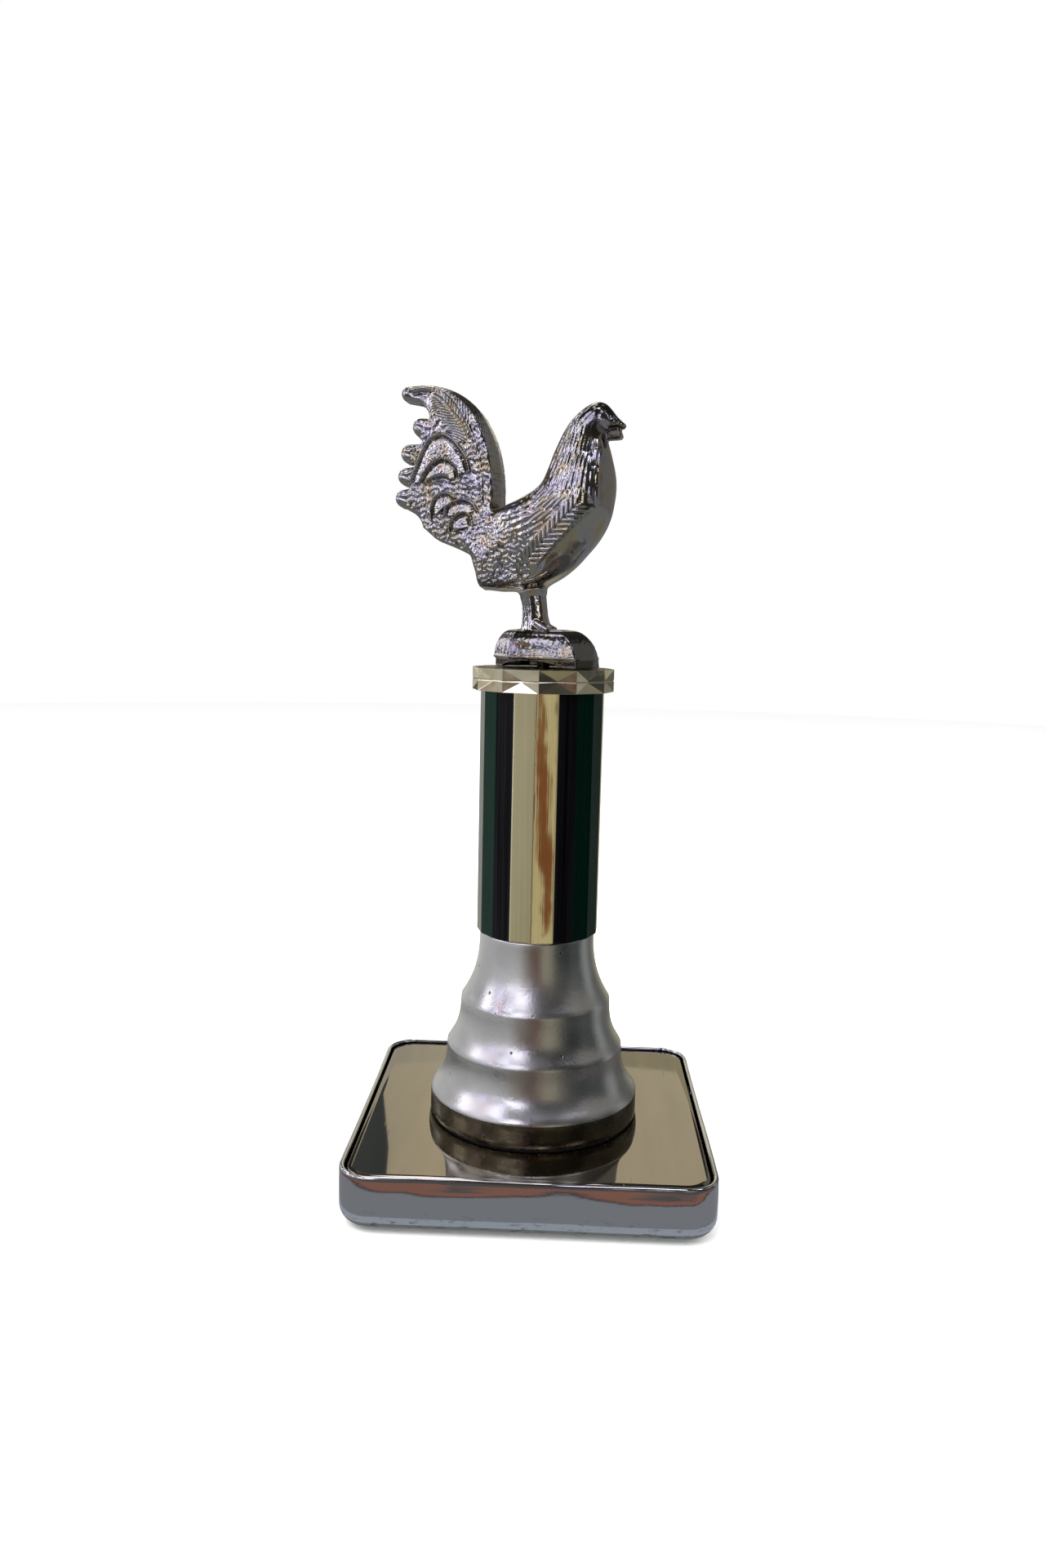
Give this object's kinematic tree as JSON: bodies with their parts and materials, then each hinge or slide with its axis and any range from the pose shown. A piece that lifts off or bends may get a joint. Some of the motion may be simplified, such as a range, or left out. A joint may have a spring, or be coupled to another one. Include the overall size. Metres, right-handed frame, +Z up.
{
  "type": "hood ornament",
  "caption": "Chromed rooster bonnet ornament on the threaded stud of a facetted trophy column, with a flared bell and a square plated base.",
  "frame": {"origin": "centre of the square base, on the ground under the felt, where the tie rod's axis meets it", "axes": "+Z up along the tie rod and column; the square base lies along X and Y; the rooster's head points to +X, turned 20 degrees towards -Y"},
  "size_m": [0.13, 0.13, 0.2915],
  "materials": {
    "chromed_zinc": "old polished chrome over a textured casting",
    "plated_rod": "zinc plated thread",
    "gold_plastic": "vacuum metallised, pale champagne gold",
    "plated_fastener": "zinc plated",
    "foiled_plastic": "dark metallic foil in green, black and gold facets",
    "plug_wood": "sawn",
    "cast_aluminium": "satin casting with orange-peel grain",
    "black_rubber": "matt",
    "dark_mirror": "polished smoked mirror",
    "fibre_board": "pressed board",
    "chromed_sheet": "bright chrome, scratched",
    "green_felt": "felt"
  },
  "bodies": {
    "trophy": {"tie_rod": "plated_rod", "cap_upper_ring": "gold_plastic", "cap_lower_ring": "gold_plastic", "lock_nut": "plated_fastener", "lock_washer": "plated_fastener", "column_tube": "foiled_plastic", "column_top_plug": "plug_wood", "column_bottom_plug": "plug_wood", "bell_casting": "cast_aluminium", "bell_gasket": "black_rubber", "mirror_plate": "dark_mirror", "filler_board": "fibre_board", "tray_shell": "chromed_sheet", "base_washer": "plated_fastener", "base_spring_washer": "plated_fastener", "base_nut": "plated_fastener", "base_felt": "green_felt"},
    "ornament": {"rooster_figure": "chromed_zinc"}
  },
  "joints": [
    {"name": "rooster_swivel", "type": "hinge", "parent": "trophy", "child": "ornament", "pos_m": [0, 0, 0.19], "axis": [0, 0, 1], "range_deg": [-180, 180]}
  ]
}
